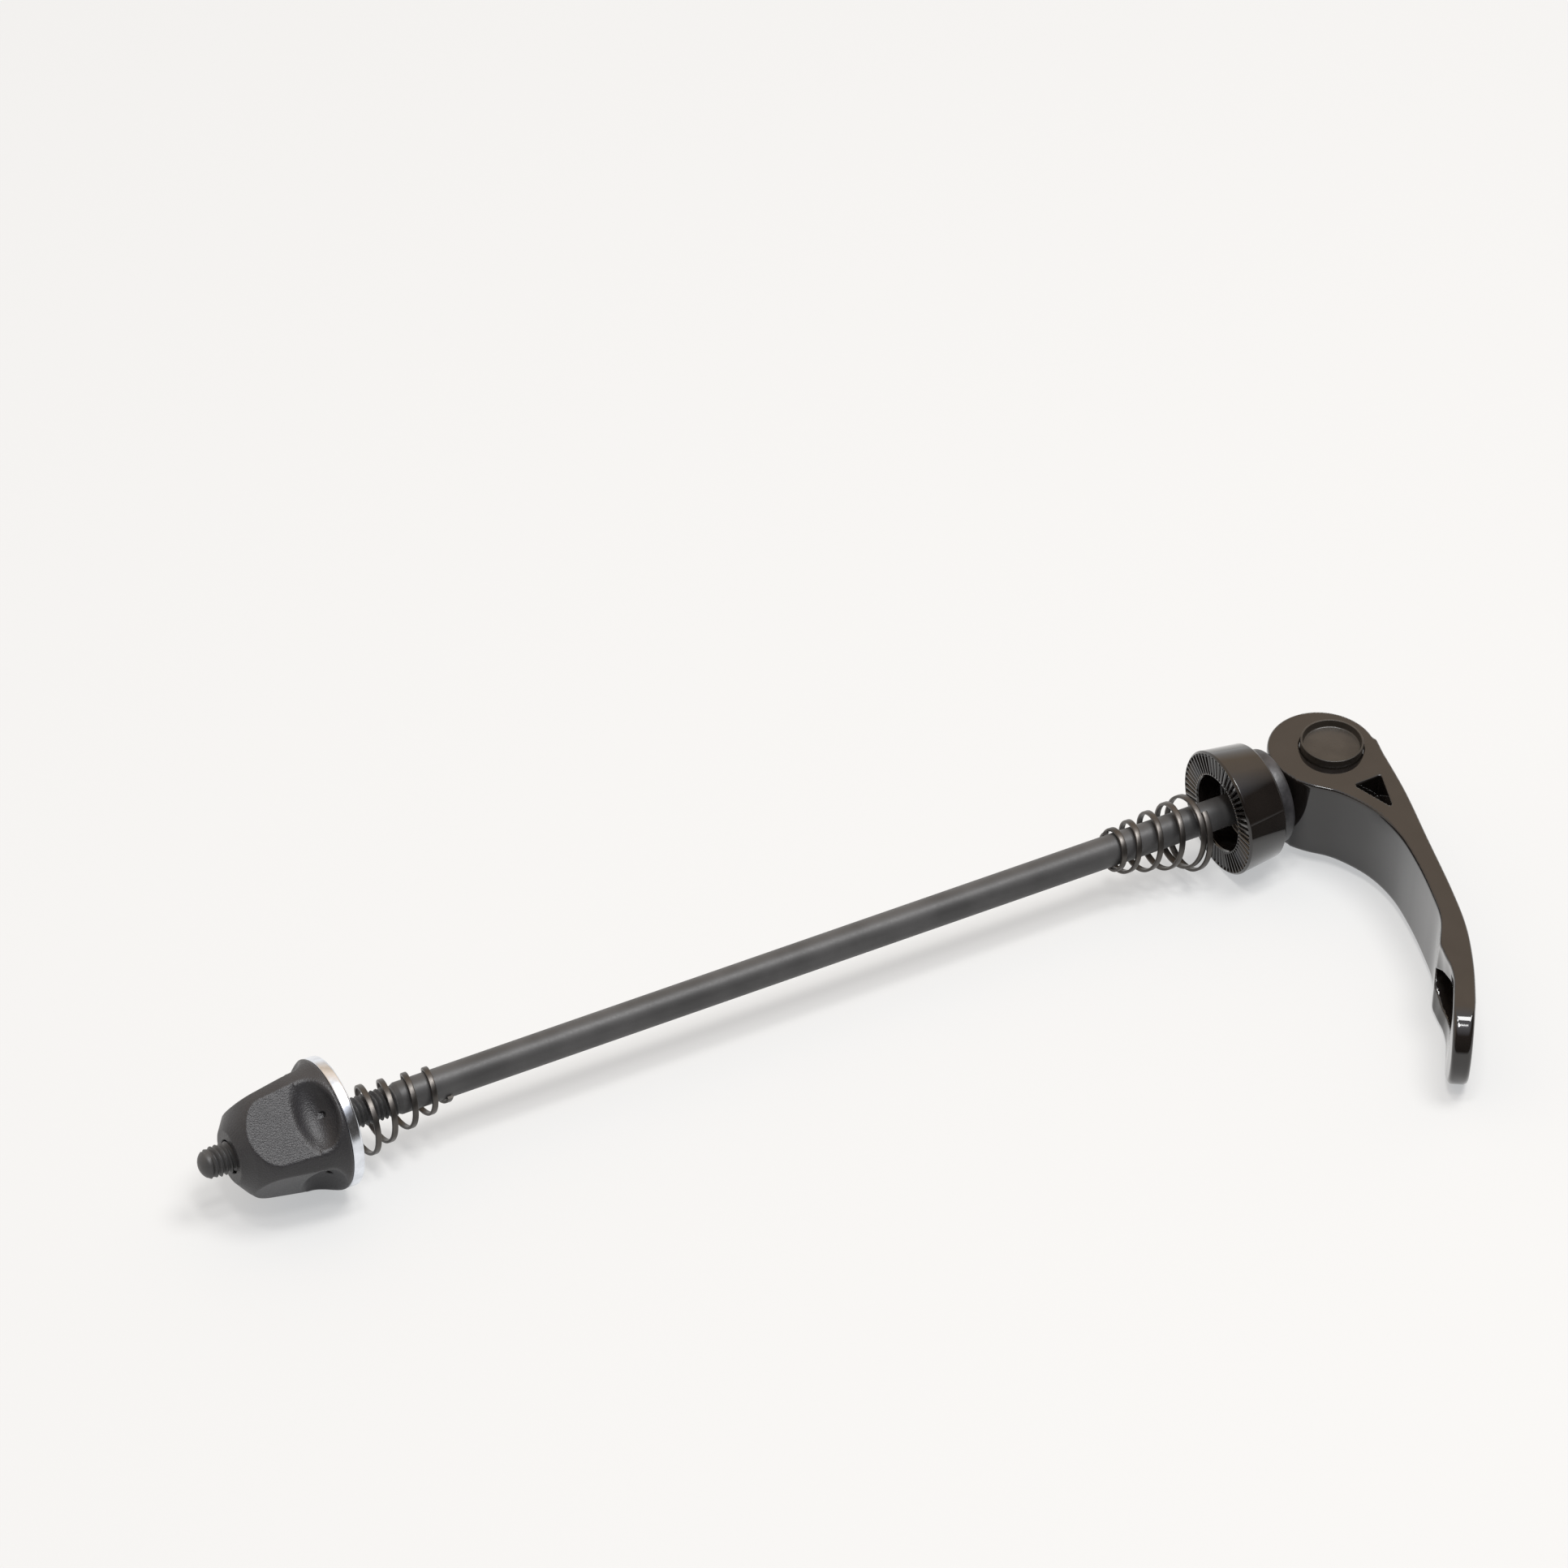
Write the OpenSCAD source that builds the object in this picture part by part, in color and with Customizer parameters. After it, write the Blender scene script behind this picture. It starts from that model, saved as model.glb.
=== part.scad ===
// Quick-release skewer for a bicycle rear wheel, external cam type, lever closed.
// +X runs along the rod towards the lever, +Z is the lever's pivot axis, and the
// closed lever points along -Y. The origin is on the rod's axis, in the plane of
// the cup's clamp face. Millimetres.

/* [Rod] */
// Diameter of the rod and of its M5 thread
rod_d = 5; // [5:0.5:6]
// How far the threaded tip stands out past the clamp face
rod_reach = 174.4; // [165:0.1:200]
// Where the rod's shoulder ends and the thread begins, from the clamp face
thread_start = 142.7; // [130:0.1:145]
// Depth of the shoulder and tip chamfers
rod_chamfer = 0.5; // [0.3:0.1:0.9]
// Radius of the round tip's edge
tip_round = 1.6; // [0.8:0.1:2.2]

/* [Barrel nut] */
// Distance of the lever's pivot axis from the clamp face
pivot_x = 20.2; // [19.5:0.1:24]
// Diameter of the barrel that the lever turns on
barrel_d = 9.9; // [9:0.1:11]
// Length of the barrel, the same as the lever's width
barrel_len = 14.5; // [13:0.1:16]
// Depth of the dish in each end of the barrel
dish_depth = 0.9; // [0.4:0.1:1.2]
// Width of the rim around the dish
dish_rim = 0.35; // [0.3:0.05:0.8]

/* [Lever] */
// Width of the lever along the barrel
lever_w = 14.5; // [13:0.1:16]
// How far the loose lever has dropped along the barrel
lever_drop = 1.1; // [0:0.1:1.3]
// Radius of the round cam ears
ear_r = 8.6; // [8.2:0.1:9]
// Distance from the ears' centre to the barrel's axis
cam_throw = 1.5; // [1:0.1:1.6]
// Angle that the closed cam still is short of its highest point
cam_short = 13; // [0:1:14]
// Width of the slot that the rod swings in
slot_w = 7.8; // [7.6:0.1:8.2]
// Distance from the barrel's axis to the slot's floor
slot_floor = 3.1; // [2.9:0.1:4]
// Depth of the three-cornered pocket in each side
pocket_depth = 4.5; // [1:0.5:6]
// Radius of that pocket's corners
pocket_round = 0.3; // [0.2:0.1:0.5]

/* [Saddle and cup] */
// Radius of the saddle's collar
saddle_r = 7.6; // [7:0.1:8.2]
// Radius of the saddle's spigot, which turns in the cup
spigot_r = 4; // [3.6:0.1:4.4]
// Gap between the saddle and the closed cam
cam_gap = 0.38; // [0.36:0.02:0.6]
// Outer radius of the cup at its clamp face
cup_r = 10.1; // [9.5:0.1:10.5]
// Outer radius of the cup at its back
cup_back_r = 9.2; // [8.8:0.1:9.5]
// Length of the cup
cup_len = 7.35; // [7:0.05:7.4]
// Radius of the cup's recess
recess_r = 6.1; // [5.9:0.1:6.8]
// Depth of the cup's recess
recess_depth = 4.4; // [3.5:0.1:4.6]
// Radius and depth of the smaller step below the recess
step_r = 5.2; // [4.8:0.1:5.6]
step_depth = 1.2; // [0.8:0.1:1.4]
// Bevel around the cup's edges
cup_bevel = 0.3; // [0.3:0.1:0.8]

/* [Adjusting nut] */
// Distance between the two clamp faces
clamp_span = 152; // [148:0.5:154]
// Radius and thickness of the steel insert's flange
flange_r = 10.1; // [9.8:0.1:10.4]
flange_t = 1.9; // [1.5:0.1:2.2]
// Length of the plastic shell
shell_len = 16.2; // [15:0.1:17]
// Radius of the shell at the flange and at the four ridges' front end
shell_r = 10.3; // [10.1:0.1:10.6]
ridge_r = 8.8; // [8.4:0.1:9.2]
// Distance of the flat faces from the axis, at the shell's front and at the scoops
flat_front = 7.2; // [7:0.1:7.8]
flat_back = 8.1; // [8:0.1:8.7]
// Turn of the four flat faces about the rod
nut_turn = 59; // [0:1:90]

/* [Springs] */
// Width and thickness of the flat spring wire
wire_w = 0.9; // [0.6:0.1:1]
wire_t = 0.5; // [0.4:0.05:0.6]
// Radius inside the small end of both springs
spring_small_r = 2.56; // [2.55:0.01:2.7]
// Radius inside the big end, and how far that loose end hangs below the rod's axis
inner_big_r = 5.9; // [5:0.1:6]
inner_sag = 2; // [0:0.1:2]
outer_big_r = 5.05; // [4.8:0.05:5.6]
outer_sag = 2.2; // [0:0.1:2.2]

/* [Hidden] */
$fn = 64;

over = 1;                     // how far a cutter runs past what it cuts
run_gap = 0.05;               // radial clearance of a running fit
rod_r = rod_d / 2;
barrel_r = barrel_d / 2;
rod_in_barrel = 4.2;          // how far the rod's end passes the barrel's axis

ear_x = -cam_throw * cos(cam_short);
ear_y = cam_throw * sin(cam_short);
lever_mid_z = -lever_drop;
saddle_back = pivot_x + ear_x - ear_r - cam_gap;
saddle_front = cup_len + 0.1;
web_front = recess_depth + step_depth;

flange_face = -clamp_span;
shell_back = flange_face - flange_t;
shell_front = shell_back - shell_len;
insert_r = 4.5;
insert_recess_r = 5;
insert_front = shell_front + 1.5;
lock_len = 2.6;
lock_back = insert_front + lock_len;
lock_r = 3.6;
facets = 4;
scoop_r = 3.4;
scoop_depth = 1.2;
scoop_x = shell_back - scoop_r - 0.2;
scoop_half = 4.8;

// The blade's outline beside the cam, in the lever's own plane: the outer side from
// the ear to the tip, then the hollow inner side back from the tip to the ear.
blade_outer = [[7.2, -1.5], [5.3, -13.2], [2.7, -24.3], [0, -35.8], [-2.4, -43.9],
               [-5.7, -51.2], [-9.2, -57.4], [-10.9, -60], [-14.7, -65.8]];
blade_scoop = [[-18.1, -65.4], [-14.2, -58.9], [-12.1, -55.4], [-9.7, -50.6],
               [-8.9, -48], [-8.1, -45.2]];
blade_inner = [[-8.1, -45.2], [-5, -40.3], [-3.3, -35], [-1.7, -28], [-0.9, -21.5],
               [-1.6, -15.6], [-4, -10.2], [-7, -6.6], [-8.6, -4.2]];
// Where the blade's half-round end begins, and the direction that the end points in.
blade_end = [-11.5, -58.2];
blade_end_turn = -121.5;
pocket_corners = [[-0.5, -9.7], [2.6, -9.6], [1.4, -14.6]];

// A smooth curve through every point of a list, with n steps between two points.
function curve_at(a, b, c, d, t) =
    0.5 * (2 * b + (c - a) * t + (2 * a - 5 * b + 4 * c - d) * t * t
           + (3 * b - a - 3 * c + d) * t * t * t);
function smooth_curve(p, n = 5) =
    let (last = len(p) - 1)
    [for (i = [0:last - 1], k = [0:n - 1])
        curve_at(p[max(i - 1, 0)], p[i], p[i + 1], p[min(i + 2, last)], k / n),
     p[last]];

// A solid of revolution about the rod's axis, from points of [x, radius].
module spun(points)
    rotate([0, 90, 0]) rotate_extrude() polygon([for (p = points) [p[1], p[0]]]);

// A cylinder along the rod's axis.
module round_bar(x0, x1, r)
    translate([x0, 0, 0]) rotate([0, 90, 0]) cylinder(h = x1 - x0, r = r);

// A conical spring of flat wire. Its end turns lie closer together, and its coils hang
// and lean because the big end is loose. hand is 1 or -1, start is where the wire begins
// in its turn, and ease is the end turns' pitch as a share of the others' pitch.
module flat_spring(x_small, x_big, turns, hand, start, big_r, sag, lean, ease) {
    n = ceil(turns * 20);
    close = 1.15 / turns;
    free = 1 - 2 * close * (1 - ease);
    way = sign(x_big - x_small);
    points = [for (i = [0:n])
        let (s = i / n,
             turn = hand * 360 * turns * s + start,
             along = s < close ? s * ease
                     : s > 1 - close ? free - (1 - s) * ease
                     : close * ease + s - close,
             x = x_small + (x_big - x_small) * along / free,
             r = spring_small_r + (big_r - spring_small_r) * s)
        for (c = [[-1, 0], [1, 0], [1, 1], [-1, 1]])
            let (z = (r + c[1] * wire_t) * sin(turn) - sag * s)
            [x + c[0] * wire_w / 2 + way * lean * z, (r + c[1] * wire_t) * cos(turn), z]];
    sides = [for (i = [0:n - 1], k = [0:3])
        let (a = 4 * i + k, b = 4 * i + (k + 1) % 4)
        each [[a, b, b + 4], [a, b + 4, a + 4]]];
    ends = [[0, 3, 2], [0, 2, 1], [4 * n, 4 * n + 1, 4 * n + 2], [4 * n, 4 * n + 2, 4 * n + 3]];
    faces = concat(sides, ends);
    polyhedron(points, hand * way > 0 ? faces : [for (f = faces) [f[2], f[1], f[0]]]);
}

module rod()
    color("#3a3a3c")
    spun([[-rod_reach, 0], [-rod_reach, rod_r - tip_round],
          for (a = [15:15:75]) [-rod_reach + tip_round * (1 - cos(a)) * 0.9,
                                rod_r - tip_round * (1 - sin(a))],
          [-rod_reach + tip_round, rod_r], [-thread_start - rod_chamfer, rod_r],
          [-thread_start, rod_r], [pivot_x + rod_in_barrel, rod_r],
          [pivot_x + rod_in_barrel, 0]]);

module barrel_nut()
    color("#4a443e")
    difference() {
        translate([pivot_x, 0, -barrel_len / 2]) cylinder(h = barrel_len, r = barrel_r);
        round_bar(pivot_x - barrel_r - over, pivot_x + barrel_r + over, rod_r);
        for (side = [0, 1]) mirror([0, 0, side])
            translate([pivot_x, 0, barrel_len / 2 - dish_depth])
                cylinder(h = dish_depth + over, r = barrel_r - dish_rim);
    }

module blade_outline()
    polygon(concat(smooth_curve(blade_outer), smooth_curve(blade_scoop),
                   smooth_curve(blade_inner), [[ear_x, ear_y]]));

// All that lies beyond the blade's half-round end.
module beyond_blade_end()
    translate(blade_end) rotate([0, 0, blade_end_turn]) difference() {
        translate([0, -lever_w, -lever_w]) cube(2 * lever_w);
        rotate([90, 0, 0]) cylinder(h = 3 * lever_w, r = lever_w / 2, center = true);
    }

module pocket_outline()
    for (p = pocket_corners) translate(p) circle(r = pocket_round);

module lever()
    color("#1d1a18")
    translate([pivot_x, 0, lever_mid_z])
    difference() {
        translate([0, 0, -lever_w / 2]) {
            translate([ear_x, ear_y, 0]) cylinder(h = lever_w, r = ear_r);
            linear_extrude(lever_w) blade_outline();
        }
        beyond_blade_end();
        translate([0, 0, -lever_w]) cylinder(h = 2 * lever_w, r = barrel_r + run_gap);
        translate([-3 * ear_r, -slot_floor, -slot_w / 2])
            cube([6 * ear_r, 3 * ear_r, slot_w]);
        for (side = [0, 1]) mirror([0, 0, side])
            translate([0, 0, lever_w / 2 - pocket_depth])
                linear_extrude(pocket_depth + over) {
                    polygon(pocket_corners);
                    pocket_outline();
                }
    }

module saddle()
    color("#242426")
    difference() {
        union() {
            spun([[saddle_front, 0], [saddle_front, saddle_r - 0.3],
                  [saddle_front + 0.3, saddle_r], [saddle_back - 0.4, saddle_r],
                  [saddle_back, saddle_r - 0.4], [saddle_back, 0]]);
            round_bar(web_front + 0.1, saddle_front + over, spigot_r);
        }
        round_bar(0, pivot_x, rod_r + run_gap);
    }

module cup()
    color("#171513")
    difference() {
        spun([[0, 0], [0, cup_r - cup_bevel], [cup_bevel, cup_r],
              [cup_len - cup_bevel, cup_back_r + 0.1], [cup_len, cup_back_r - cup_bevel],
              [cup_len, 0]]);
        round_bar(-over, recess_depth, recess_r);
        round_bar(0, web_front, step_r);
        round_bar(0, cup_len + over, spigot_r + run_gap);
    }

module inner_spring()
    color("#4b4744")
    flat_spring(-19.15, -4.5, 5.8, -1, 39, inner_big_r, inner_sag, 0.14, 0.24);

module outer_spring()
    color("#4b4744")
    flat_spring(-134.4, -148.4, 4.25, 1, 192, outer_big_r, outer_sag, 0.07, 0.79);

module nut_insert()
    color("#c9ced4")
    difference() {
        union() {
            spun([[flange_face, 0], [flange_face, flange_r - 0.3],
                  [flange_face - 0.3, flange_r], [shell_back + 0.3, flange_r],
                  [shell_back, flange_r - 0.3], [shell_back, 0]]);
            round_bar(insert_front, shell_back + over, insert_r);
        }
        round_bar(shell_front, flange_face + over, rod_r + run_gap);
        round_bar(insert_front - over, lock_back, lock_r);
        round_bar(flange_face - 0.8, flange_face + over, insert_recess_r);
    }

module nut_lock_ring()
    color("#e8e6dc")
    difference() {
        round_bar(insert_front + 0.2, lock_back, lock_r);
        round_bar(insert_front - over, lock_back + over, rod_r + run_gap);
    }

module nut_shell()
    color("#2b2b2d")
    difference() {
        spun([[shell_front, 0], [shell_front, 3.6], [shell_front + 0.5, 4.4],
              [shell_front + 2.6, 6.6], [shell_front + 4.6, ridge_r],
              [shell_back - 3, shell_r - 0.35], [shell_back - 0.8, shell_r],
              [shell_back, shell_r], [shell_back, 0]]);
        round_bar(insert_front, shell_back + over, insert_r);
        round_bar(shell_front - over, shell_back, rod_r + 0.6);
        for (k = [0:facets - 1]) rotate([k * 360 / facets - nut_turn, 0, 0])
            flat_and_scoop();
    }

// One flat face and the thumb scoop behind it, cut towards -Y.
module flat_and_scoop() {
    slope = atan((flat_back - flat_front) / (shell_len - 6.5));
    translate([shell_front, -flat_front, 0])
        rotate([0, 0, -slope])
            translate([-over, -2 * shell_r, -shell_r])
                cube([shell_len - 4.5 + over, 2 * shell_r, 2 * shell_r]);
    translate([scoop_x, -flat_back - scoop_r + scoop_depth, -scoop_half])
        cylinder(h = 2 * scoop_half, r = scoop_r);
}

rod();
barrel_nut();
lever();
saddle();
cup();
inner_spring();
outer_spring();
nut_insert();
nut_lock_ring();
nut_shell();
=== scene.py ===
"""Looks of a bicycle quick-release skewer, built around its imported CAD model.

Lengths are millimetres until mesh_object() turns them into metres. +X runs along the
rod towards the lever, +Z is the lever's pivot axis, the closed lever points along -Y.
"""
import math

import bmesh
import bpy
import numpy as np
from mathutils import Matrix, Vector


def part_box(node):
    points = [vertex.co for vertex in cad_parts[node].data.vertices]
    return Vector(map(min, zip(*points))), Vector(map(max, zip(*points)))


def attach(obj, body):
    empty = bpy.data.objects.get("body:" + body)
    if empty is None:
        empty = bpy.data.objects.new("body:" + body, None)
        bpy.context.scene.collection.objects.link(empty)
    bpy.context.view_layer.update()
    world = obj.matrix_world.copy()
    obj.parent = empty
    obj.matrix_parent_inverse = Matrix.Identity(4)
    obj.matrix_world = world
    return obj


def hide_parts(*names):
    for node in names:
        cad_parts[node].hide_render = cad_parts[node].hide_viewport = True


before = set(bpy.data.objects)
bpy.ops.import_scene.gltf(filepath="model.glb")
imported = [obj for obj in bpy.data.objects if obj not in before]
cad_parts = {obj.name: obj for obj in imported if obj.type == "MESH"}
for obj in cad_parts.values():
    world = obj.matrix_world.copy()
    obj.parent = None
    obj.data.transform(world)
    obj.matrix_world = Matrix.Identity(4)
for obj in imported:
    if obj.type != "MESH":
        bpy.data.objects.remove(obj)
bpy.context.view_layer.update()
MM = 0.001


def box_mm(node):
    """Lowest and highest corner of a CAD node, in millimetres."""
    low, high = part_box(node)
    return np.array(low) / MM, np.array(high) / MM


ROD_LOW, ROD_HIGH = box_mm("rod")
BARREL_LOW, BARREL_HIGH = box_mm("barrel_nut")
LEVER_LOW, LEVER_HIGH = box_mm("lever")
SADDLE_LOW, SADDLE_HIGH = box_mm("saddle")
CUP_HIGH = box_mm("cup")[1]
INSERT_LOW, INSERT_HIGH = box_mm("nut_insert")
LOCK_LOW, LOCK_HIGH = box_mm("nut_lock_ring")
SHELL_LOW, SHELL_HIGH = box_mm("nut_shell")

ROD_R = ROD_HIGH[1]
THREAD_START = -142.7
THREAD_PITCH = 0.8
THREAD_DEPTH = 0.5
SPRING_SMALL_R = 2.56
PIVOT_X = (BARREL_LOW[0] + BARREL_HIGH[0]) / 2
BARREL_R = BARREL_HIGH[1]
BARREL_HALF = BARREL_HIGH[2]
LEVER_MID_Z = (LEVER_LOW[2] + LEVER_HIGH[2]) / 2
LEVER_HALF = (LEVER_HIGH[2] - LEVER_LOW[2]) / 2
SHELL_R = SHELL_HIGH[1]
FLANGE_R = INSERT_HIGH[1]


# ---------------------------------------------------------------- mesh helpers

def mesh_object(name, points, faces, material, normals=None, sharp=40):
    """A new object from points in millimetres; normals are per point, if given."""
    mesh = bpy.data.meshes.new(name)
    mesh.from_pydata((np.asarray(points) * MM).tolist(), [], [list(f) for f in faces])
    mesh.validate()
    mesh.shade_smooth()
    if normals is None:
        mesh.set_sharp_from_angle(angle=math.radians(sharp))
    else:
        mesh.normals_split_custom_set_from_vertices(normals.tolist())
    mesh.materials.append(material)
    made = bpy.data.objects.new(name, mesh)
    bpy.context.collection.objects.link(made)
    return made


def finish_piece(piece, body, slot, *nodes):
    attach(piece, body)
    if nodes:
        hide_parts(*nodes)


def rounded(corners, steps=5):
    """A profile with its corners filleted. A corner is (x, r) or (x, r, fillet radius)."""
    out = []
    count = len(corners)
    for i, corner in enumerate(corners):
        p = np.array(corner[:2], float)
        radius = corner[2] if len(corner) > 2 else 0
        if radius == 0 or i in (0, count - 1):
            out.append(p)
            continue
        a = np.array(corners[i - 1][:2], float) - p
        b = np.array(corners[i + 1][:2], float) - p
        a /= np.linalg.norm(a)
        b /= np.linalg.norm(b)
        half = math.acos(np.clip(a @ b, -1, 1)) / 2
        reach = radius / math.tan(half)
        middle = p + (a + b) / np.linalg.norm(a + b) * radius / math.sin(half)
        start = p + a * reach - middle
        end = p + b * reach - middle
        sweep = math.pi - 2 * half
        for k in range(steps + 1):
            t = k / steps
            w = np.sin([(1 - t) * sweep, t * sweep]) / math.sin(sweep)
            out.append(middle + w[0] * start + w[1] * end)
    return np.array(out)


def lathe(name, profile, columns, material, shape=None, sharp=40):
    """A surface of revolution about the rod's axis. shape(x, r, angle) bends its grid."""
    angle = np.arange(columns) * 2 * math.pi / columns
    x = np.repeat(profile[:, :1], columns, 1)
    r = np.repeat(profile[:, 1:], columns, 1)
    a = np.repeat(angle[None, :], len(profile), 0)
    if shape:
        x, r = shape(x, r, a)
    points = np.stack([x, r * np.cos(a), r * np.sin(a)], -1).reshape(-1, 3)
    rows = len(profile)
    faces = grid_faces(rows, columns)
    made = mesh_object(name, points, faces, material, sharp=sharp)
    weld(made)
    return made


def grid_faces(rows, columns):
    """Quads of a grid that is closed across its columns."""
    i, j = np.meshgrid(np.arange(rows - 1), np.arange(columns), indexing="ij")
    k = (j + 1) % columns
    quads = [i * columns + j, i * columns + k, (i + 1) * columns + k, (i + 1) * columns + j]
    return np.stack(quads, -1).reshape(-1, 4)


def weld(made):
    """Joins points that lie on each other, and turns all faces outwards."""
    bm = bmesh.new()
    bm.from_mesh(made.data)
    bmesh.ops.remove_doubles(bm, verts=bm.verts, dist=1e-7)
    bmesh.ops.dissolve_degenerate(bm, edges=bm.edges, dist=1e-8)
    bmesh.ops.recalc_face_normals(bm, faces=bm.faces)
    bm.to_mesh(made.data)
    bm.free()


# ------------------------------------------------------- solids from distances

def smooth_max(a, b, k):
    h = np.maximum(k - np.abs(a - b), 0) / k
    return np.maximum(a, b) + h * h * k / 4


def smooth_min(a, b, k):
    return -smooth_max(-a, -b, k)


def slab(d, z, half, edge):
    """Distance to an outline's prism, |z| < half, with its edges rounded."""
    u = d + edge
    v = np.abs(z) - half + edge
    outside = np.hypot(np.maximum(u, 0), np.maximum(v, 0))
    return outside + np.minimum(np.maximum(u, v), 0) - edge


def smooth_curve(corners, steps=24):
    """Points on a smooth curve through all corners."""
    c = np.array(corners, float)
    p = np.vstack([c[:1], c, c[-1:]])
    t = (np.arange(steps) / steps)[:, None]
    out = []
    for i in range(len(c) - 1):
        a, b, d, e = p[i:i + 4]
        out.append(0.5 * (2 * b + (d - a) * t + (2 * a - 5 * b + 4 * d - e) * t ** 2
                          + (3 * b - a - 3 * d + e) * t ** 3))
    out.append(c[-1:])
    return np.vstack(out)


def outline_distance(x, y, outline):
    """Signed distance from points to a closed outline, negative inside."""
    best = np.full(x.shape, 1e9)
    inside = np.zeros(x.shape, bool)
    for (ax, ay), (bx, by) in zip(outline, np.roll(outline, -1, 0)):
        ex, ey = bx - ax, by - ay
        size = ex * ex + ey * ey
        if size < 1e-12:
            continue
        t = np.clip(((x - ax) * ex + (y - ay) * ey) / size, 0, 1)
        best = np.minimum(best, (x - ax - t * ex) ** 2 + (y - ay - t * ey) ** 2)
        crosses = (ay > y) != (by > y)
        if ay != by:
            inside ^= crosses & (x < ax + (y - ay) * ex / ey)
    return np.where(inside, -1, 1) * np.sqrt(best)


class OutlineMap:
    """An outline's distance kept on a fine grid and read back with cubic smoothing."""

    def __init__(self, outline, low, high, cell=0.12):
        self.low = np.array(low, float)
        self.cell = cell
        xs = np.arange(low[0], high[0] + cell, cell)
        ys = np.arange(low[1], high[1] + cell, cell)
        x, y = np.meshgrid(xs, ys, indexing="ij")
        self.grid = outline_distance(x, y, outline)

    def __call__(self, x, y):
        u = (x - self.low[0]) / self.cell
        v = (y - self.low[1]) / self.cell
        i = np.clip(u.astype(int), 1, self.grid.shape[0] - 3)
        j = np.clip(v.astype(int), 1, self.grid.shape[1] - 3)
        total = np.zeros(x.shape)
        for di, wi in enumerate(self.weights(u - i)):
            for dj, wj in enumerate(self.weights(v - j)):
                total += wi * wj * self.grid[i + di - 1, j + dj - 1]
        return total

    @staticmethod
    def weights(t):
        """Cubic B-spline weights of the four nearest grid lines."""
        return ((1 - t) ** 3 / 6, (3 * t ** 3 - 6 * t ** 2 + 4) / 6,
                (-3 * t ** 3 + 3 * t ** 2 + 3 * t + 1) / 6, t ** 3 / 6)


def solid(name, distance, low, high, cell, material):
    """A mesh of the surface where distance(x, y, z) is zero, with exact normals."""
    axes = [np.arange(a - 2 * cell, b + 2.5 * cell, cell) for a, b in zip(low, high)]
    value = distance(*np.meshgrid(*axes, indexing="ij", sparse=False))
    inside = value < 0
    shape = tuple(n - 1 for n in value.shape)
    total = np.zeros(shape + (3,))
    count = np.zeros(shape)
    # Mean of the crossings on each cell's twelve edges.
    for axis in range(3):
        a = [slice(None)] * 3
        b = [slice(None)] * 3
        a[axis] = slice(0, -1)
        b[axis] = slice(1, None)
        va, vb = value[tuple(a)], value[tuple(b)]
        cross = inside[tuple(a)] != inside[tuple(b)]
        t = np.where(cross, va / np.where(cross, va - vb, 1), 0)
        others = [k for k in range(3) if k != axis]
        for p in (0, 1):
            for q in (0, 1):
                pick = [slice(None)] * 3
                pick[others[0]] = slice(p, shape[others[0]] + p)
                pick[others[1]] = slice(q, shape[others[1]] + q)
                hit = cross[tuple(pick)]
                count += hit
                total[..., axis] += t[tuple(pick)]
                total[..., others[0]] += hit * p
                total[..., others[1]] += hit * q
    used = count > 0
    index = np.full(shape, -1)
    index[used] = np.arange(used.sum())
    corner = np.stack(np.nonzero(used), -1)
    start = np.array([ax[0] for ax in axes])
    points = start + cell * (corner + total[used] / count[used][:, None])
    faces = crossing_faces(inside, index)
    for _ in range(4):
        slope = gradient(distance, points)
        off = distance(*points.T)
        step = off / np.maximum((slope ** 2).sum(1), 0.2)
        points -= np.clip(step, -cell, cell)[:, None] * slope
    normals = gradient(distance, points)
    normals /= np.linalg.norm(normals, axis=1)[:, None]
    return mesh_object(name, points, faces, material, normals)


def gradient(distance, points, eps=0.02):
    out = np.empty_like(points)
    for axis in range(3):
        ahead, behind = points.copy(), points.copy()
        ahead[:, axis] += eps
        behind[:, axis] -= eps
        out[:, axis] = (distance(*ahead.T) - distance(*behind.T)) / (2 * eps)
    return out


def crossing_faces(inside, index):
    """One quad around each grid edge that passes through the surface."""
    found = []
    for axis in range(3):
        b, c = (axis + 1) % 3, (axis + 2) % 3
        head = [slice(1, -1)] * 3
        head[axis] = slice(0, -1)
        tail = list(head)
        tail[axis] = slice(1, None)
        first, second = inside[tuple(head)], inside[tuple(tail)]
        place = np.stack(np.nonzero(first != second), -1)
        out = first[tuple(place.T)]
        place[:, b] += 1
        place[:, c] += 1
        ring = []
        for db, dc in ((0, 0), (-1, 0), (-1, -1), (0, -1)):
            at = place.copy()
            at[:, b] += db
            at[:, c] += dc
            ring.append(index[tuple(at.T)])
        ring = np.stack(ring, -1)
        ring[~out] = ring[~out][:, ::-1]
        found.append(ring)
    return np.vstack(found)


# ------------------------------------------------------------------- materials

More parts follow.
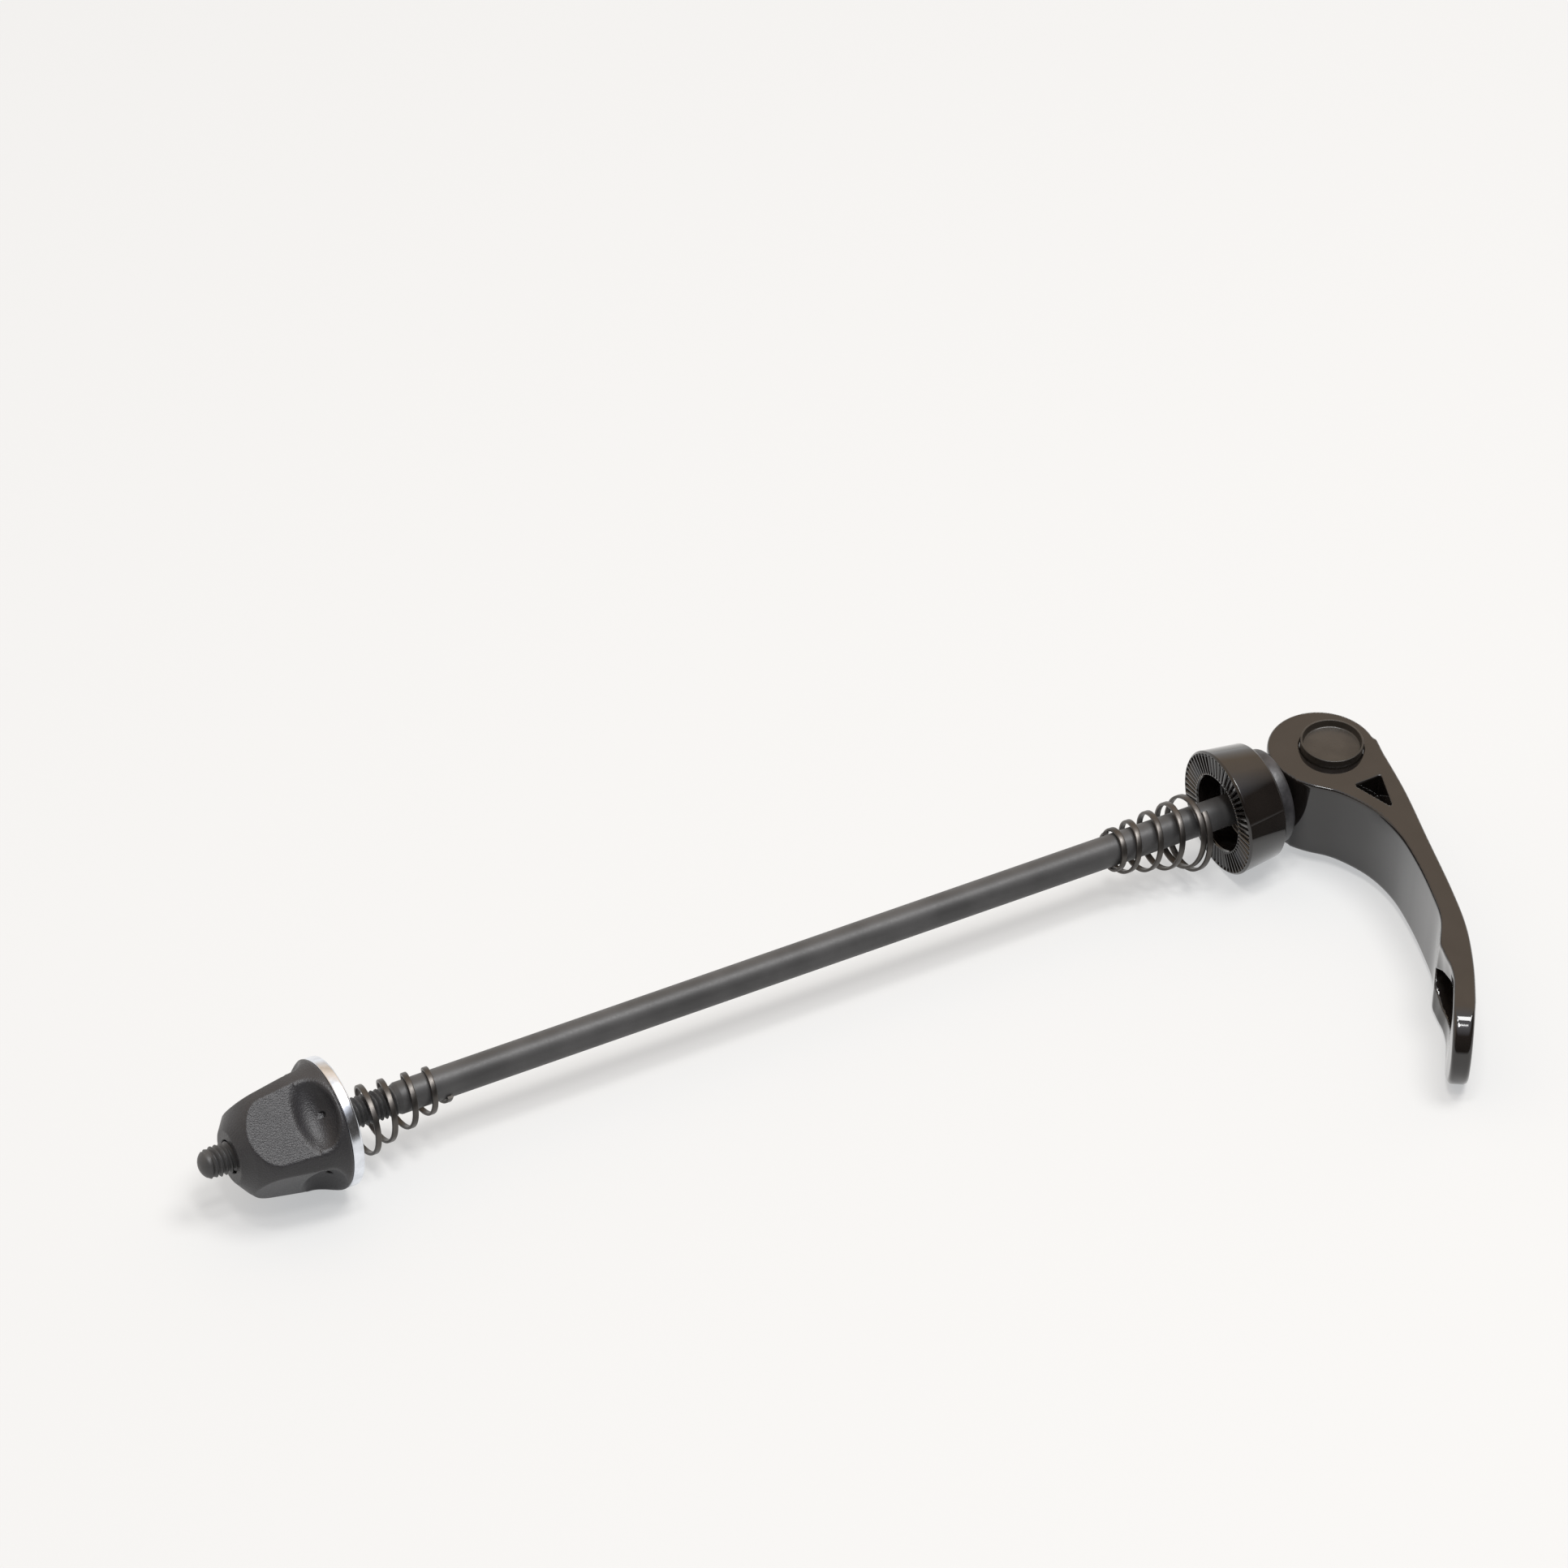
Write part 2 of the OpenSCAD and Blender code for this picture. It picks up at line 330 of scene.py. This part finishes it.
def surface(name, color, roughness, metallic=0.0, vary=0.25, grain=0.4, bump=0.0,
            rough_vary=0.08, coat=0.0, specular=0.5, spread=6.0):
    """A material whose colour, roughness and relief vary by noise of grain mm size."""
    material = bpy.data.materials.new(name)
    material.use_nodes = True
    nodes, links = material.node_tree.nodes, material.node_tree.links
    shader = nodes["Principled BSDF"]
    shader.inputs["Metallic"].default_value = metallic
    shader.inputs["Coat Weight"].default_value = coat
    shader.inputs["Coat Roughness"].default_value = 0.05
    shader.inputs["Specular IOR Level"].default_value = specular
    place = nodes.new("ShaderNodeTexCoord")

    def noise(size, detail):
        node = nodes.new("ShaderNodeTexNoise")
        node.inputs["Scale"].default_value = 1 / (size * MM)
        node.inputs["Detail"].default_value = detail
        links.new(place.outputs["Object"], node.inputs["Vector"])
        return node

    broad = noise(spread, 4)
    ramp = nodes.new("ShaderNodeValToRGB")
    dark = [c * (1 - vary) for c in color]
    light = [min(c * (1 + vary), 1) for c in color]
    ramp.color_ramp.elements[0].color = (*dark, 1)
    ramp.color_ramp.elements[0].position = 0.35
    ramp.color_ramp.elements[1].color = (*light, 1)
    ramp.color_ramp.elements[1].position = 0.65
    links.new(broad.outputs["Fac"], ramp.inputs["Fac"])
    links.new(ramp.outputs["Color"], shader.inputs["Base Color"])
    fine = noise(grain, 3)
    gloss = nodes.new("ShaderNodeMapRange")
    gloss.inputs["To Min"].default_value = max(roughness - rough_vary, 0.02)
    gloss.inputs["To Max"].default_value = min(roughness + rough_vary, 1)
    links.new(fine.outputs["Fac"], gloss.inputs["Value"])
    links.new(gloss.outputs["Result"], shader.inputs["Roughness"])
    if bump:
        relief = nodes.new("ShaderNodeBump")
        relief.inputs["Strength"].default_value = 1.0
        relief.inputs["Distance"].default_value = bump * MM
        links.new(fine.outputs["Fac"], relief.inputs["Height"])
        links.new(relief.outputs["Normal"], shader.inputs["Normal"])
    return material


ROD_BLACK = surface("rod_black", (0.055, 0.054, 0.054), 0.46, vary=0.18, grain=0.35,
                    bump=0.006, rough_vary=0.1, specular=0.45)
BARREL_BLACK = surface("barrel_black", (0.03, 0.025, 0.02), 0.3, vary=0.3, grain=0.5,
                       bump=0.004)
GLOSS_BLACK = surface("gloss_black", (0.010, 0.008, 0.007), 0.07, vary=0.2, grain=1.1,
                      bump=0.0015, rough_vary=0.02, coat=0.6, specular=0.45)
SADDLE_BLACK = surface("saddle_black", (0.03, 0.029, 0.031), 0.38, vary=0.5, grain=0.4,
                       bump=0.01, rough_vary=0.15, spread=2.0)
SPRING_DARK = surface("spring_dark", (0.09, 0.083, 0.077), 0.36, metallic=0.9, vary=0.2,
                      grain=0.3, bump=0.003, spread=3.0)
ZINC = surface("zinc", (0.75, 0.78, 0.83), 0.22, metallic=1.0, vary=0.12, grain=0.5,
               bump=0.006, spread=2.5)
NYLON = surface("nylon", (0.8, 0.78, 0.7), 0.45, vary=0.05, grain=0.5)
NUT_BLACK = surface("nut_black", (0.024, 0.023, 0.025), 0.4, vary=0.2, grain=0.22,
                    bump=0.09, rough_vary=0.1)


# ---------------------------------------------------------------------- pieces

def thread_wave(x, angle):
    """Depth of a right-hand thread below its crest at a place on the rod, 0 to 1."""
    turn = (x / THREAD_PITCH - angle / (2 * math.pi)) % 1
    return np.clip(1.12 - 2.24 * np.abs(turn - 0.5), 0, 1)


def make_rod():
    tip, end = ROD_LOW[0], ROD_HIGH[0]
    dome = 2.2
    shoulder = 0.9
    xs = np.concatenate([tip + dome * (1 - np.cos(np.linspace(0, math.pi / 2, 12))),
                         np.arange(tip + dome + 0.05, THREAD_START, 0.05),
                         np.linspace(THREAD_START, THREAD_START + shoulder, 8),
                         np.linspace(THREAD_START + 2, end, 60)])
    t = np.clip((xs - tip) / dome, 0, 1)
    env = np.minimum(ROD_R - 0.06, 0.2 + (ROD_R - 0.26) * np.sqrt(1 - (1 - t) ** 2))
    rise = np.clip((xs - THREAD_START) / shoulder, 0, 1)
    env = np.where(xs > THREAD_START, ROD_R - 0.45 * (1 - rise), env)
    env[0] = 0
    profile = np.stack([xs, env], -1)
    profile = np.vstack([profile, [end, 0]])

    def shape(x, r, a):
        fade = np.clip((THREAD_START + 0.2 - x) / 0.5, 0, 1)
        groove = THREAD_DEPTH * thread_wave(x, a) * fade
        return x, np.minimum(r, np.where(fade > 0, ROD_R - 0.06 - groove, r))

    piece = lathe("rod", profile, 72, ROD_BLACK, shape, sharp=50)
    finish_piece(piece, "spindle", "rod_steel", "rod")


def make_barrel():
    rim = 0.3
    wall = BARREL_R - rim
    floor = BARREL_HALF - 1.2
    profile = rounded([(-floor, 0), (-floor, wall - 0.15, 0.25), (-BARREL_HALF, wall, 0.06),
                       (-BARREL_HALF, BARREL_R, 0.1), (BARREL_HALF, BARREL_R, 0.1),
                       (BARREL_HALF, wall, 0.06), (floor, wall - 0.15, 0.25), (floor, 0)])
    piece = lathe("barrel_nut", profile, 96, BARREL_BLACK)
    turn = Matrix.Translation((PIVOT_X * MM, 0, 0)) @ Matrix.Rotation(-math.pi / 2, 4, "Y")
    piece.data.transform(turn)
    finish_piece(piece, "spindle", "barrel_steel", "barrel_nut")


EAR_R = 8.6
EAR_AT = (-1.46, 0.34)
BLADE_OUTER = [(7.2, -1.5), (5.3, -13.2), (2.7, -24.3), (0, -35.8), (-2.4, -43.9),
               (-5.7, -51.2), (-9.2, -57.4), (-10.9, -60), (-14.7, -65.8)]
BLADE_INNER = [(-19.6, -65.4), (-15.9, -58.9), (-11.6, -51.4), (-8.1, -45.2), (-5, -40.3),
               (-3.3, -35), (-1.7, -28), (-0.9, -21.5), (-1.6, -15.6), (-4, -10.2),
               (-7, -6.6), (-8.6, -4.2)]
FINGER_SCOOP = [(-18.5, -66.4), (-14.2, -58.9), (-12.1, -55.5), (-10.4, -52.7), (-9.4, -50.2),
                (-8.9, -47.8), (-8.3, -44.6), (-8.2, -38)]
POCKET = [(-0.9, -9.4), (3.2, -9.2), (1.4, -15.2)]


def make_lever():
    """The cam lever: two round ears, a curved blade, pockets and a finger scoop."""
    low2, high2 = (-24, -72), (14, 14)
    blade = OutlineMap(np.vstack([smooth_curve(BLADE_OUTER), smooth_curve(BLADE_INNER),
                                  [EAR_AT]]), low2, high2)
    scoop = OutlineMap(np.vstack([smooth_curve(FINGER_SCOOP), [(14, -38), (14, -66)]]),
                       low2, high2)
    pocket = OutlineMap(np.array(POCKET), low2, high2)
    slot_half = 3.9
    slot_floor = -3.1
    tip = (-11.5, -58.2)
    along = (-0.522, -0.853)

    def distance(x, y, z):
        x = x - PIVOT_X
        z = z - LEVER_MID_Z
        across = z / LEVER_HALF
        ear = np.hypot(x - EAR_AT[0], y - EAR_AT[1]) - EAR_R
        body = smooth_min(ear, blade(x, y), 1.2)
        # The scoop is hollow across the lever too, least of all at the tip.
        hollow = 0.9 * np.clip(1 - across ** 2, 0, 1) * np.clip((y + 59) / 9, 0, 1)
        carved = scoop(x - hollow, np.minimum(y, -39.0))
        body = np.where(y < -39.5, smooth_max(body, carved, 0.2), body)
        body = slab(body, z, LEVER_HALF, 0.35)
        # The tip ends in a half round, seen along the blade's thickness.
        s = (x - tip[0]) * along[0] + (y - tip[1]) * along[1]
        end = np.hypot(np.maximum(s, 0), z) - LEVER_HALF
        body = smooth_max(body, end, 0.9)
        slot = np.maximum(np.abs(z) - slot_half, slot_floor - y)
        body = smooth_max(body, -slot, 0.35)
        bore = np.hypot(x, y) - (BARREL_R + 0.06)
        body = smooth_max(body, -bore, 0.25)
        cut = np.maximum(pocket(x, y) - 0.25, LEVER_HALF - 4.5 - np.abs(z))
        body = smooth_max(body, -cut, 0.25)
        # The pocket in the scoop is a leaf, pointed at both ends.
        u = (x + 9.9) * along[0] + (y + 49.8) * along[1]
        v = (x + 9.9) * along[1] - (y + 49.8) * along[0]
        leaf = (np.abs(z + 0.6 - 0.1 * u) - 3.6 * (1 - (u / 8.2) ** 2)) * 0.75
        return smooth_max(body, -np.maximum(leaf, -2.4 - v), 0.2)

    low = np.array([LEVER_LOW[0] - 0.6, LEVER_LOW[1] - 1, LEVER_LOW[2]])
    high = np.array([LEVER_HIGH[0] + 0.6, LEVER_HIGH[1] + 0.6, LEVER_HIGH[2]])
    piece = solid("lever", distance, low, high, 0.28, GLOSS_BLACK)
    finish_piece(piece, "lever", "lever_paint", "lever")


def make_saddle():
    front, back = CUP_HIGH[0] + 0.1, SADDLE_HIGH[0]
    hole = ROD_R + 0.05
    spigot = 4.0
    profile = rounded([(SADDLE_LOW[0], hole), (SADDLE_LOW[0], spigot, 0.3),
                       (front, spigot, 0.1), (front, SADDLE_HIGH[1], 0.35),
                       (back, SADDLE_HIGH[1], 0.6), (back, hole, 0.2),
                       (SADDLE_LOW[0], hole)])
    piece = lathe("saddle", profile, 96, SADDLE_BLACK)
    finish_piece(piece, "saddle", "saddle_plastic", "saddle")


def radial_teeth(count, inner, outer, depth, face_x, side):
    """A grid bend that cuts radial V grooves into a flat clamp face."""
    def shape(x, r, a):
        wave = np.abs((a * count / (2 * math.pi)) % 1 - 0.5) * 2
        groove = np.clip(1.5 * (1 - wave) - 0.5, 0, 1)
        ring = np.clip((r - inner) / 0.25, 0, 1) * np.clip((outer - r) / 0.3, 0, 1)
        on_face = np.abs(x - face_x) < 0.02
        return x + side * depth * groove * ring * on_face, r
    return shape


def make_cup():
    radius, back_r = CUP_HIGH[1], 9.3
    length = CUP_HIGH[0]
    recess, step, hole = 6.1, 5.2, 4.05
    rings = [(0, r) for r in np.linspace(6.35, 9.7, 14)]
    profile = rounded([(length, hole), (5.6, hole, 0.1), (5.6, step, 0.2), (4.4, step, 0.2),
                       (4.4, recess, 0.3), (0.25, recess, 0.1), (0, 6.3)] + rings
                      + [(0, radius - 0.3, 0.1), (0.3, radius, 0.15),
                         (length - 0.5, back_r, 0.4),
                         (length, back_r - 0.7, 0.3), (length, hole, 0.1)])
    shape = radial_teeth(56, 6.35, 9.75, 0.7, 0, 1)
    piece = lathe("cup", profile, 448, GLOSS_BLACK, shape, sharp=30)
    finish_piece(piece, "cup", "cup_paint", "cup")


def make_spring(name, x_small, x_big, turns, hand, start, big_r, sag, lean, ease):
    """A conical spring of flat wire, its end turns closer, hanging at its loose big end.

    hand is 1 or -1, start is the wire's first angle in degrees, sag is how far the big end
    hangs below the rod's axis, lean tilts the coils, and ease is the end turns' pitch as a
    share of the others' pitch.
    """
    steps = int(turns * 60)
    s = np.linspace(0, 1, steps + 1)
    close = 1.15 / turns
    free = 1 - 2 * close * (1 - ease)
    way = np.where(s < close, s * ease,
                   np.where(s > 1 - close, free - (1 - s) * ease, close * ease + s - close))
    x = x_small + (x_big - x_small) * way / free
    radius = SPRING_SMALL_R + (big_r - SPRING_SMALL_R) * s
    turn = hand * 2 * math.pi * turns * s + math.radians(start)
    lean = lean * math.copysign(1, x_big - x_small)
    half_w, thick = 0.46, 0.45
    section = rounded([(0, 0), (half_w, 0, 0.1), (half_w, thick, 0.14),
                       (-half_w, thick, 0.14), (-half_w, 0, 0.1), (0, 0)], 3)[:-1]
    points = []
    for du, dr in section:
        z = (radius + dr) * np.sin(turn) - sag * s
        points.append(np.stack([x + du + lean * z, (radius + dr) * np.cos(turn), z], -1))
    points = np.stack(points, 1).reshape(-1, 3)
    count = len(section)
    faces = [list(f) for f in grid_faces(steps + 1, count)]
    faces.append(list(range(count)))
    faces.append(list(range(steps * count, (steps + 1) * count))[::-1])
    piece = mesh_object(name, points, faces, SPRING_DARK)
    weld(piece)
    finish_piece(piece, name, "spring_steel", name)


def make_nut_insert():
    face, back = INSERT_HIGH[0], SHELL_HIGH[0]
    inner = 4.5
    hole = ROD_R + 0.05
    rings = [(face, r) for r in np.linspace(9.4, 6.0, 12)]
    profile = rounded([(INSERT_LOW[0], hole), (INSERT_LOW[0], inner, 0.3), (back, inner),
                       (back, FLANGE_R, 0.3), (face, FLANGE_R, 0.45)] + rings
                      + [(face, 5.0, 0.2), (face - 0.8, 5.0, 0.1), (face - 0.8, hole, 0.3),
                         (INSERT_LOW[0], hole)])
    shape = radial_teeth(54, 5.9, 9.5, 0.35, face, -1)
    piece = lathe("nut_insert", profile, 324, ZINC, shape)
    finish_piece(piece, "nut", "zinc_steel", "nut_insert")


def make_lock_ring():
    hole = ROD_R + 0.05
    x0, x1, radius = LOCK_LOW[0], LOCK_HIGH[0], LOCK_HIGH[1]
    profile = rounded([(x0, hole), (x0, radius, 0.3), (x1, radius, 0.3), (x1, hole, 0.3),
                       (x0, hole)])
    piece = lathe("nut_lock_ring", profile, 64, NYLON)
    finish_piece(piece, "nut", "nylon", "nut_lock_ring")


NUT_TURN = math.radians(59)


def make_nut_shell():
    """The plastic grip: a tapered body with four flats, each ending in a thumb scoop."""
    x0, x1 = SHELL_LOW[0], SHELL_HIGH[0]
    ridge = rounded([(x0 + 0.6, -1), (x0 + 0.6, 4.2, 0.6), (x0 + 2.3, 6.4, 2),
                     (x0 + 4.4, 8.5, 5), (x0 + 12.0, 9.8, 6), (x1 - 0.5, SHELL_R - 0.1, 0.6),
                     (x1, SHELL_R - 0.2, 0.2), (x1, -1)])
    body_map = OutlineMap(ridge, (x0 - 3, -3), (x1 + 3, 14), 0.1)
    flats = [NUT_TURN + k * math.pi / 2 for k in range(4)]

    def distance(x, y, z):
        r = np.hypot(y, z)
        body = body_map(x, r)
        for turn in flats:
            # d points out of the flat, w runs across it.
            d = -y * math.cos(turn) + z * math.sin(turn)
            w = y * math.sin(turn) + z * math.cos(turn)
            # The flat rises slowly, and beside the scoop it climbs to the rim.
            height = 6.55 + 0.15 * (x - x0 - 3.5) + 1.3 * np.maximum(x - x1 + 4.8, 0)
            body = smooth_max(body, (d - height) * 0.8, 0.14)
            # The thumb scoop is an egg-shaped bowl between the flat and the rim.
            bowl = np.sqrt(((x - x1 + 4.0) / 3.4) ** 2 + (w / 7.2) ** 2 + ((d - 10.6) / 4.1) ** 2)
            body = smooth_max(body, -np.maximum((bowl - 1) * 3.6, -d), 0.6)
            dot = np.hypot(x - x1 + 2.2, w) - 0.5
            body = smooth_max(body, -np.maximum(dot, 6.8 - d), 0.12)
        hole = r - (ROD_R + 0.12)
        body = smooth_max(body, -hole, 0.2)
        bore = np.maximum(r - 4.5, (x0 + 1.5) - x)
        return np.maximum(body, -bore)

    low = np.array([x0, -SHELL_R, -SHELL_R])
    high = np.array([x1, SHELL_R, SHELL_R])
    piece = solid("nut_shell", distance, low, high, 0.2, NUT_BLACK)
    finish_piece(piece, "nut", "nut_plastic", "nut_shell")


# ------------------------------------------------------- floor, camera, lights

def make_floor():
    """A pale floor under the nut's rim, the cup's rim and the lever's tip."""
    end_round = 7
    tip_y, tip_z = LEVER_LOW[1] + end_round, LEVER_LOW[2]
    cup_r = CUP_HIGH[1]
    tilt = 0.0
    for _ in range(20):
        tilt = math.atan2(tip_z + cup_r / math.cos(tilt), -tip_y)
    size = 2.0
    mesh = bpy.data.meshes.new("floor")
    mesh.from_pydata([(-size, -size, 0), (size, -size, 0), (size, size, 0), (-size, size, 0)],
                     [], [(0, 1, 2, 3)])
    floor = bpy.data.objects.new("floor", mesh)
    bpy.context.collection.objects.link(floor)
    yaw = math.atan2(SHELL_R - cup_r, -SHELL_HIGH[0])
    floor.matrix_world = (Matrix.Rotation(-tilt, 4, "X") @ Matrix.Rotation(-yaw, 4, "Y")
                          @ Matrix.Translation((0, 0, -cup_r * MM)))
    material = bpy.data.materials.new("floor_white")
    material.use_nodes = True
    shader = material.node_tree.nodes["Principled BSDF"]
    shader.inputs["Base Color"].default_value = (0.3, 0.295, 0.285, 1)
    shader.inputs["Roughness"].default_value = 0.8
    shader.inputs["Specular IOR Level"].default_value = 0.2
    shader.inputs["Emission Color"].default_value = (0.97, 0.985, 1, 1)
    shader.inputs["Emission Strength"].default_value = 0.48
    mesh.materials.append(material)


CAMERA_AIM = (-57.3, 35.5, 0)
CAMERA_DISTANCE = 1261.0
CAMERA_AZIMUTH = -30.27
CAMERA_ELEVATION = 42.56
CAMERA_ROLL = 2.85
CAMERA_LENS = 186.3


def make_camera():
    data = bpy.data.cameras.new("camera")
    data.sensor_width = 36
    data.lens = CAMERA_LENS
    data.clip_end = 20
    az, el = math.radians(CAMERA_AZIMUTH), math.radians(CAMERA_ELEVATION)
    back = Vector((math.sin(az) * math.cos(el), -math.cos(az) * math.cos(el), math.sin(el)))
    turn = back.to_track_quat("Z", "Y").to_matrix().to_4x4()
    turn = turn @ Matrix.Rotation(math.radians(CAMERA_ROLL), 4, "Z")
    camera = bpy.data.objects.new("camera", data)
    place = Vector(CAMERA_AIM) * MM + back * CAMERA_DISTANCE * MM
    camera.matrix_world = Matrix.Translation(place) @ turn
    bpy.context.collection.objects.link(camera)
    bpy.context.scene.camera = camera


def area_light(name, place, aim, size, power):
    """A round lamp, size metres across."""
    data = bpy.data.lights.new(name, "AREA")
    data.shape = "DISK"
    data.size = size
    data.energy = power
    light = bpy.data.objects.new(name, data)
    turn = (Vector(place) - Vector(aim)).to_track_quat("Z", "Y").to_matrix().to_4x4()
    light.matrix_world = Matrix.Translation(place) @ turn
    bpy.context.collection.objects.link(light)


def make_lights():
    """A pale horizon, a warm wall at the back, a dark room in front, and lamps overhead."""
    world = bpy.data.worlds.new("studio")
    world.use_nodes = True
    nodes, links = world.node_tree.nodes, world.node_tree.links
    place = nodes.new("ShaderNodeTexCoord")
    split = nodes.new("ShaderNodeSeparateXYZ")
    links.new(place.outputs["Generated"], split.inputs["Vector"])

    def ramp(source, stops):
        node = nodes.new("ShaderNodeValToRGB")
        ends = node.color_ramp.elements
        for end, (position, color) in zip(ends, (stops[0], stops[-1])):
            end.position = position
            end.color = (*color, 1)
        for position, color in stops[1:-1]:
            ends.new(position).color = (*color, 1)
        links.new(source, node.inputs["Fac"])
        return node

    back = ramp(split.outputs["Z"], [(0.0, (1, 1, 1)), (0.2, (0.8, 0.76, 0.72)),
                                     (0.5, (0.8, 0.64, 0.48)), (0.75, (1.0, 0.82, 0.66)),
                                     (0.95, (1, 1, 1))])
    front = ramp(split.outputs["Z"], [(0.0, (0.9, 0.9, 0.9)), (0.12, (0.045, 0.04, 0.036)),
                                      (0.7, (0.045, 0.04, 0.036)), (0.9, (0.9, 0.92, 1))])
    side = nodes.new("ShaderNodeMapRange")
    side.inputs["From Min"].default_value = -0.25
    side.inputs["From Max"].default_value = 0.3
    links.new(split.outputs["Y"], side.inputs["Value"])
    mix = nodes.new("ShaderNodeMixRGB")
    links.new(side.outputs["Result"], mix.inputs["Fac"])
    links.new(front.outputs["Color"], mix.inputs["Color1"])
    links.new(back.outputs["Color"], mix.inputs["Color2"])
    links.new(mix.outputs["Color"], nodes["Background"].inputs["Color"])
    nodes["Background"].inputs["Strength"].default_value = 1.0
    bpy.context.scene.world = world
    area_light("top", (0.3, -0.1, 1.2), (-0.08, 0, 0), 0.5, 9)
    area_light("lamp_near", (-0.2, -0.36, 1.1), (0, 0, 0), 0.2, 3)
    area_light("lamp_far", (-0.2, -0.05, 1.2), (0, 0, 0), 0.2, 3)


make_camera()
make_rod()
make_barrel()
make_lever()
make_saddle()
make_cup()
make_spring("inner_spring", x_small=-19.15, x_big=-4.5, turns=5.8, hand=-1, start=39,
            big_r=5.9, sag=2.0, lean=0.14, ease=0.24)
make_spring("outer_spring", x_small=-134.4, x_big=-148.4, turns=4.25, hand=1, start=192,
            big_r=5.05, sag=2.2, lean=0.07, ease=0.79)
make_nut_insert()
make_lock_ring()
make_nut_shell()
make_floor()
make_lights()
bpy.context.scene.view_settings.view_transform = "Standard"
